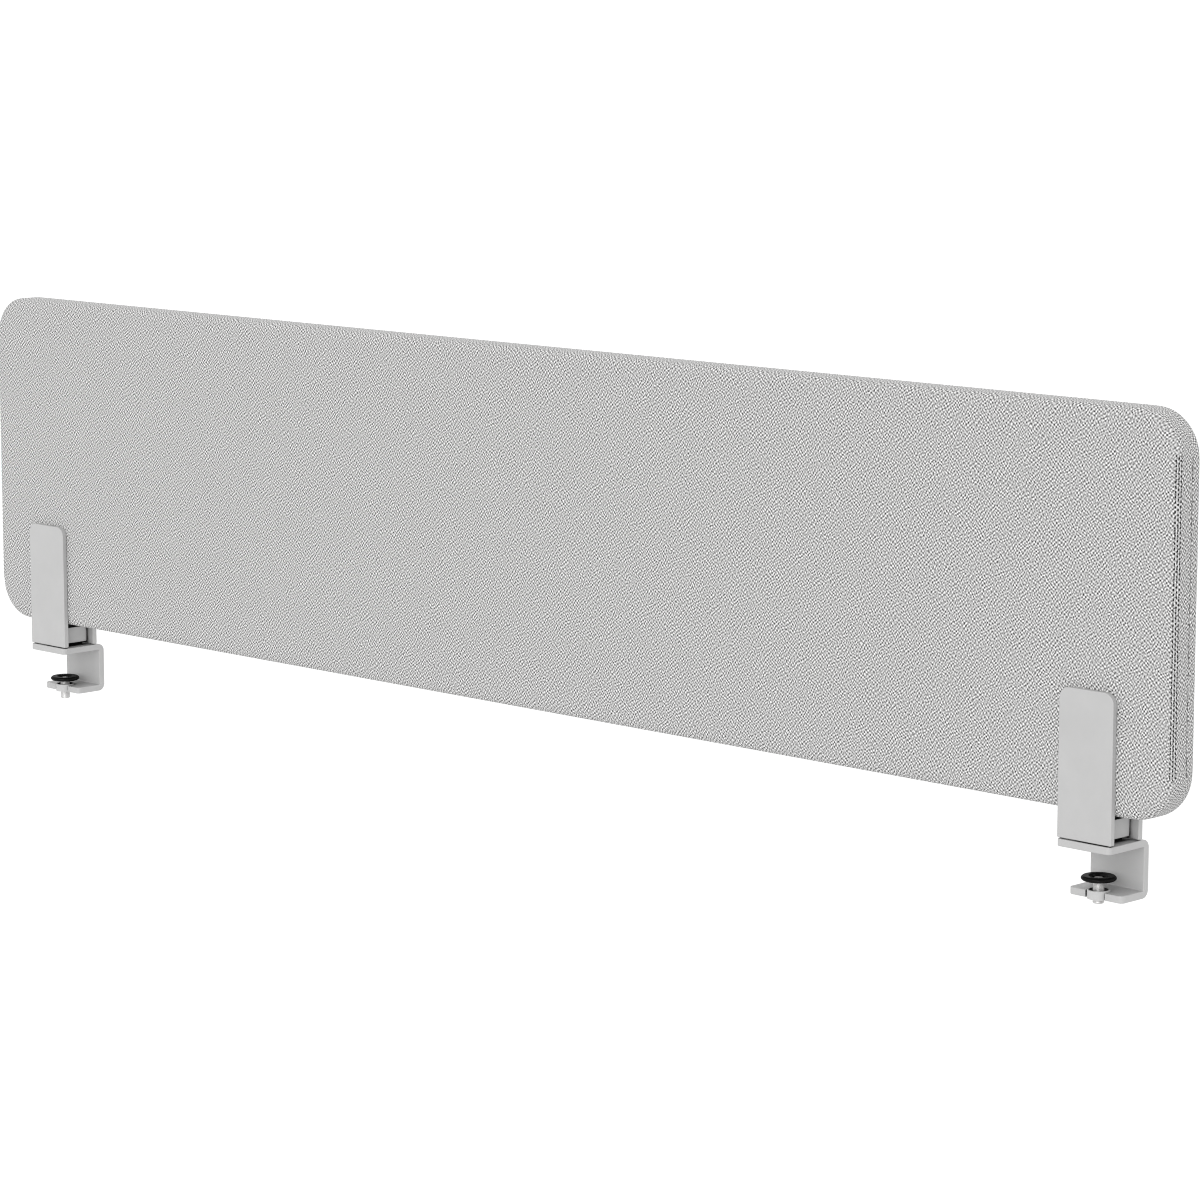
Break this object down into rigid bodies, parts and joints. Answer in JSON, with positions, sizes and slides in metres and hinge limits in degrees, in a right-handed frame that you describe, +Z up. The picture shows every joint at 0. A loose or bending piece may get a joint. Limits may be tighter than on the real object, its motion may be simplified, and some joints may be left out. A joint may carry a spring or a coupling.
{
  "type": "desk privacy panel",
  "caption": "Low fabric-covered desk privacy panel held in two steel forks, each on a C-clamp with a screw and swivel pad that grips the desk edge.",
  "frame": {"origin": "on the desktop's top surface, half way between the two clamps and under the panel's middle plane", "axes": "+Z up, X along the panel and the desk edge, -Y towards the person seated (the clamps open towards -Y)"},
  "size_m": [1.6, 0.0549, 0.4346],
  "materials": {
    "cover_fabric": "matte",
    "board": "matte",
    "padding": "matte",
    "tape": "matte",
    "painted_steel": "satin",
    "painted_block": "satin",
    "black_rubber": "matte",
    "fastener_steel": "satin",
    "bush_steel": "satin",
    "black_nylon": "matte",
    "zinc_steel": "satin",
    "black_pad": "gloss"
  },
  "bodies": {
    "screen": {"fabric_cover": "cover_fabric", "core_board": "board", "front_padding": "padding", "back_padding": "padding", "edge_wadding": "padding", "left_closing_tape": "tape", "right_closing_tape": "tape", "left_front_plate": "painted_steel", "left_back_plate": "painted_steel", "left_spacer_block": "painted_block", "left_clamp_frame": "painted_steel", "left_rest_pad": "black_rubber", "left_base_spacer": "black_rubber", "left_plate_screws": "fastener_steel", "left_flange_screws": "fastener_steel", "left_threaded_bush": "bush_steel", "left_locking_ring": "black_nylon", "right_front_plate": "painted_steel", "right_back_plate": "painted_steel", "right_spacer_block": "painted_block", "right_clamp_frame": "painted_steel", "right_rest_pad": "black_rubber", "right_base_spacer": "black_rubber", "right_plate_screws": "fastener_steel", "right_flange_screws": "fastener_steel", "right_threaded_bush": "bush_steel", "right_locking_ring": "black_nylon"},
    "left_pad": {"left_clamp_pad": "black_pad"},
    "left_screw": {"left_clamp_screw": "zinc_steel"},
    "right_pad": {"right_clamp_pad": "black_pad"},
    "right_screw": {"right_clamp_screw": "zinc_steel"}
  },
  "joints": [
    {"name": "left_pad_travel", "type": "slide", "parent": "screen", "child": "left_pad", "axis": [0, 0, 1], "range_m": [-0.00361, 0.01101]},
    {"name": "left_screw_turn", "type": "hinge", "parent": "left_pad", "child": "left_screw", "pos_m": [-0.712, 0, -0.04], "axis": [0, 0, 1], "range_deg": [-1296, 3960]},
    {"name": "right_pad_travel", "type": "slide", "parent": "screen", "child": "right_pad", "axis": [0, 0, 1], "range_m": [-0.00761, 0.00701]},
    {"name": "right_screw_turn", "type": "hinge", "parent": "right_pad", "child": "right_screw", "pos_m": [0.712, 0, -0.04], "axis": [0, 0, 1], "range_deg": [-2736, 2520]}
  ],
  "couplings": [
    {"joint": "left_pad_travel", "follows": "left_screw_turn", "m_per_rad": 0.00015915},
    {"joint": "right_pad_travel", "follows": "right_screw_turn", "m_per_rad": 0.00015915}
  ]
}
